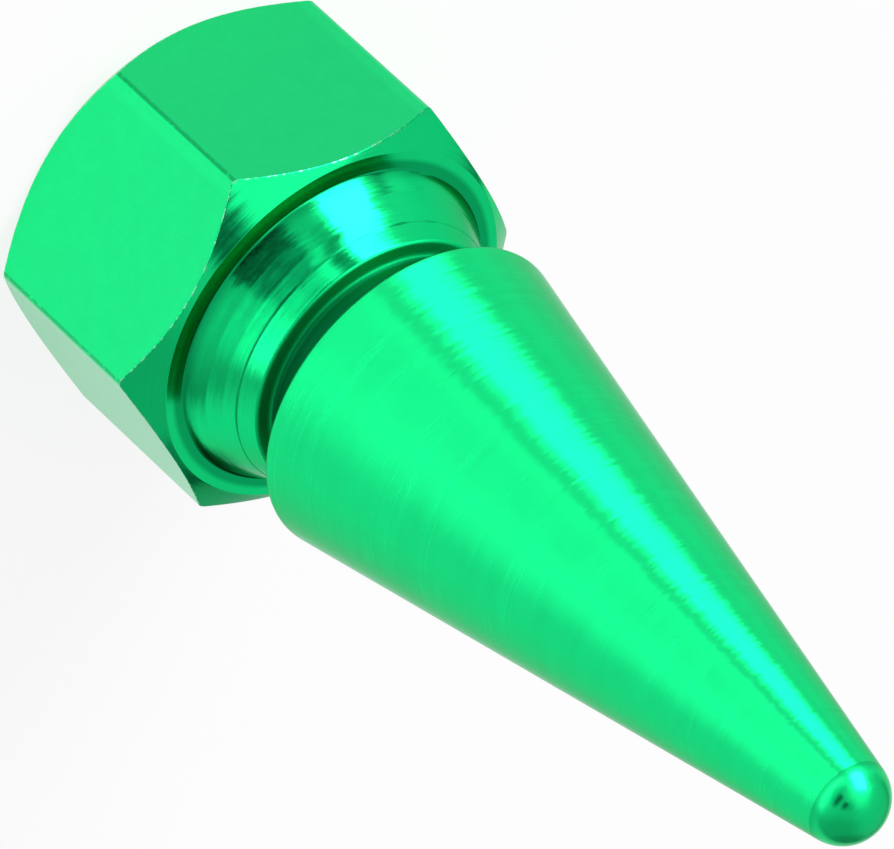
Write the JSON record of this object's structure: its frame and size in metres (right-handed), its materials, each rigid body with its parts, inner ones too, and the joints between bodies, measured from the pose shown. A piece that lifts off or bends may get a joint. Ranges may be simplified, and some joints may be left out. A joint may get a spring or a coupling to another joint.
{
  "type": "tyre valve cap",
  "caption": "Spiked hexagonal cap that screws onto a tyre valve stem, with a tapered collar, a groove and a rubber sealing washer in its threaded bore.",
  "frame": {"origin": "centre of the mouth face, which the cap stands on", "axes": "+Z along the axis of the cap, from the mouth to the tip of the spike; +X through a corner of the hexagon"},
  "size_m": [0.0138, 0.012, 0.033],
  "materials": {
    "green_anodised_aluminium": "bright green anodised, turned",
    "black_rubber": "matt moulded"
  },
  "bodies": {
    "root": {"cap_body": "green_anodised_aluminium", "seal_washer": "black_rubber"}
  },
  "joints": []
}
